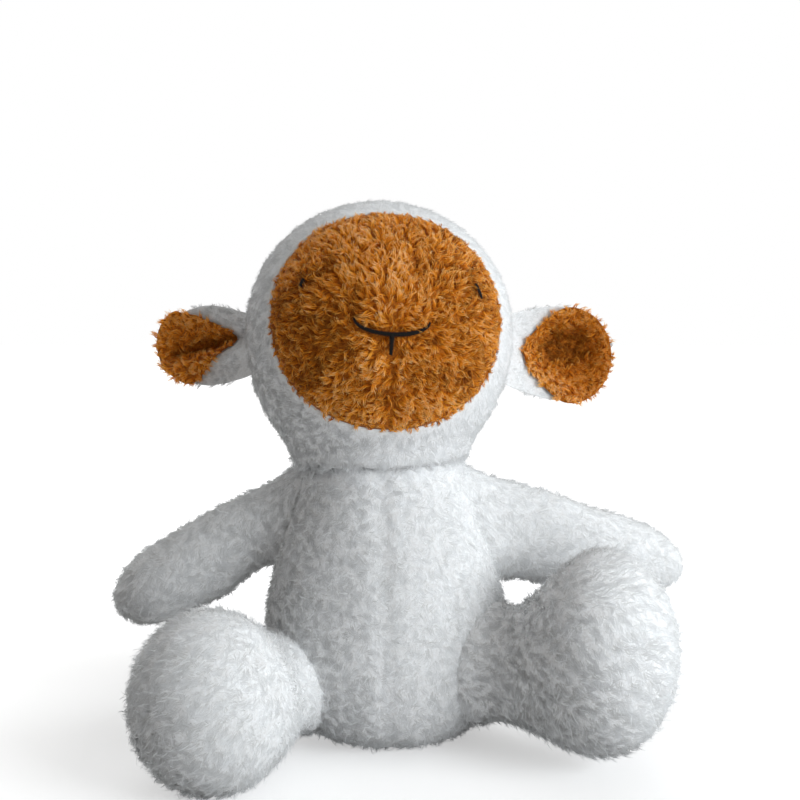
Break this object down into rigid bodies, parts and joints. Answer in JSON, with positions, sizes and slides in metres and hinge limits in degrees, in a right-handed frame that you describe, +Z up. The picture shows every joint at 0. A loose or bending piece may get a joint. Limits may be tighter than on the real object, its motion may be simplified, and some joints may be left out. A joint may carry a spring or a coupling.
{
  "type": "plush sheep",
  "caption": "Seated soft toy sheep with long white pile, brown pile face and ear linings, stitched smile and eyes, splayed stuffed legs, drooping arms and a short tail",
  "frame": {"origin": "The middle of the flat seat, on the surface that the sheep sits on.", "axes": "+Z is up. The sheep faces -Y, and +X is its own left."},
  "size_m": [0.3006, 0.1897, 0.2687],
  "materials": {
    "white_pile": "long wavy white pile on a knitted backing",
    "brown_pile": "soft straight brown pile with pale tips",
    "black_thread": "satin-stitched embroidery thread",
    "white_thread": "twisted polyester thread",
    "polyester_fill": "loose polyester fibre",
    "pellet_cloth": "plain woven cloth round plastic pellets"
  },
  "bodies": {
    "body": {"body_cover": "white_pile", "body_stuffing": "polyester_fill", "pellet_bag": "pellet_cloth"},
    "neck": {"neck_thread": "white_thread"},
    "head": {"head_cover": "white_pile", "face_panel": "brown_pile", "head_stuffing": "polyester_fill", "mouth_embroidery": "black_thread", "eye_left": "black_thread", "eye_right": "black_thread"},
    "ear_left": {"ear_left_back": "white_pile", "ear_left_lining": "brown_pile"},
    "ear_right": {"ear_right_back": "white_pile", "ear_right_lining": "brown_pile"},
    "arm_left": {"arm_left_cover": "white_pile", "arm_left_stuffing": "polyester_fill"},
    "arm_right": {"arm_right_cover": "white_pile", "arm_right_stuffing": "polyester_fill"},
    "leg_left": {"leg_left_cover": "white_pile", "leg_left_stuffing": "polyester_fill"},
    "leg_right": {"leg_right_cover": "white_pile", "leg_right_stuffing": "polyester_fill"},
    "tail": {"tail_cover": "white_pile", "tail_stuffing": "polyester_fill"}
  },
  "joints": [
    {"name": "neck_turn", "type": "hinge", "parent": "body", "child": "neck", "pos_m": [-0.004, 0, 0.105], "axis": [0, 0, 1], "range_deg": [-30, 30], "stiffness_Nm_per_rad": 0.3},
    {"name": "neck_nod", "type": "hinge", "parent": "neck", "child": "head", "pos_m": [-0.004, 0, 0.105], "axis": [1, 0, 0], "range_deg": [-12, 15], "stiffness_Nm_per_rad": 1},
    {"name": "ear_right_fold", "type": "hinge", "parent": "head", "child": "ear_right", "pos_m": [-0.07265, -0.00763, 0.19654], "axis": [0.0436, 0.0835, 0.9956], "range_deg": [-25, 25], "stiffness_Nm_per_rad": 0.02},
    {"name": "arm_right_swing", "type": "hinge", "parent": "body", "child": "arm_right", "pos_m": [-0.05417, 0, 0.11267], "axis": [-0.2913, 0, -0.9566], "range_deg": [-10, 30], "stiffness_Nm_per_rad": 0.05},
    {"name": "leg_right_lift", "type": "hinge", "parent": "body", "child": "leg_right", "pos_m": [-0.04966, -0.03258, 0.0359], "axis": [-0.6745, 0.7383, 0], "range_deg": [-12, 12], "stiffness_Nm_per_rad": 0.3},
    {"name": "ear_left_fold", "type": "hinge", "parent": "head", "child": "ear_left", "pos_m": [0.06197, 0.00658, 0.19398], "axis": [-0.0436, -0.0835, -0.9956], "range_deg": [-25, 25], "stiffness_Nm_per_rad": 0.02},
    {"name": "arm_left_swing", "type": "hinge", "parent": "body", "child": "arm_left", "pos_m": [0.04767, 0, 0.1127], "axis": [-0.3409, 0, 0.9401], "range_deg": [-10, 30], "stiffness_Nm_per_rad": 0.05},
    {"name": "leg_left_lift", "type": "hinge", "parent": "body", "child": "leg_left", "pos_m": [0.05045, -0.02987, 0.04097], "axis": [-0.6193, -0.7851, 0], "range_deg": [-12, 12], "stiffness_Nm_per_rad": 0.3},
    {"name": "tail_wag", "type": "hinge", "parent": "body", "child": "tail", "pos_m": [-0.00139, 0.05359, 0.048], "axis": [1, 0, 0], "range_deg": [-20, 20], "stiffness_Nm_per_rad": 0.02}
  ]
}
